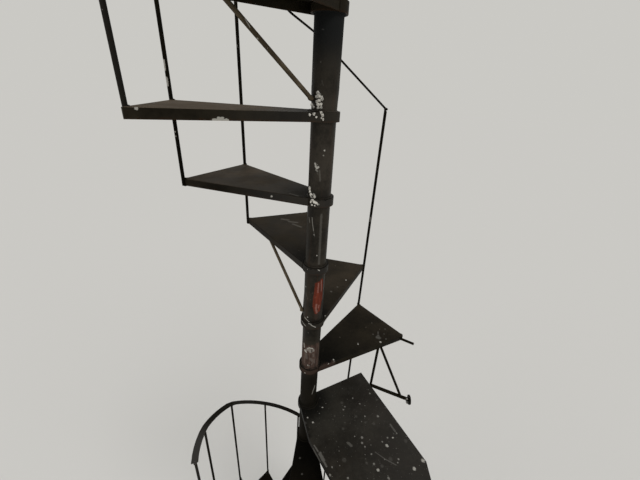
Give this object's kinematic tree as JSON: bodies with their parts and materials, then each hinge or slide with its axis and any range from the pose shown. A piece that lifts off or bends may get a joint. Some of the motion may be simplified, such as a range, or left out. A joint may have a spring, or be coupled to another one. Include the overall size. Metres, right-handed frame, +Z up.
{
  "type": "spiral staircase",
  "caption": "Steel spiral staircase of folded wedge treads on rings round a pole, with a wall-side landing, thin rod balusters and round and flat handrails",
  "frame": {"origin": "centre of the base plate's underside, on the pole's axis", "axes": "+Z up along the pole, +X towards the wall beside the landing, +Y away from the viewer"},
  "size_m": [1.0207, 1.0406, 5.711],
  "materials": {
    "pole_paint": "worn black-brown gloss paint",
    "tread_paint": "worn dark brown paint with specks",
    "landing_paint": "dark grey paint with pale specks and scuffs",
    "rail_paint": "black paint",
    "rod_paint": "brown-black paint with chips"
  },
  "bodies": {
    "root": {"base_plate": "pole_paint", "lower_pole": "pole_paint", "upper_pole": "pole_paint", "pole_cap": "pole_paint", "landing": "landing_paint", "tread_1": "tread_paint", "tread_2": "tread_paint", "tread_3": "tread_paint", "tread_4": "tread_paint", "tread_5": "tread_paint", "tread_6": "tread_paint", "tread_7": "tread_paint", "tread_8": "tread_paint", "tread_9": "tread_paint", "tread_10": "tread_paint", "tread_11": "tread_paint", "tread_12": "tread_paint", "tread_13": "tread_paint", "tread_14": "tread_paint", "tread_15": "tread_paint", "tread_16": "tread_paint", "tread_17": "tread_paint", "tread_18": "tread_paint", "lower_balusters": "rail_paint", "upper_balusters": "rail_paint", "tie_rod": "rail_paint", "lower_handrail": "rail_paint", "upper_handrail": "rail_paint", "brace_rods": "rod_paint", "wall_bracket": "rod_paint", "wall_stay": "rod_paint"}
  },
  "joints": []
}
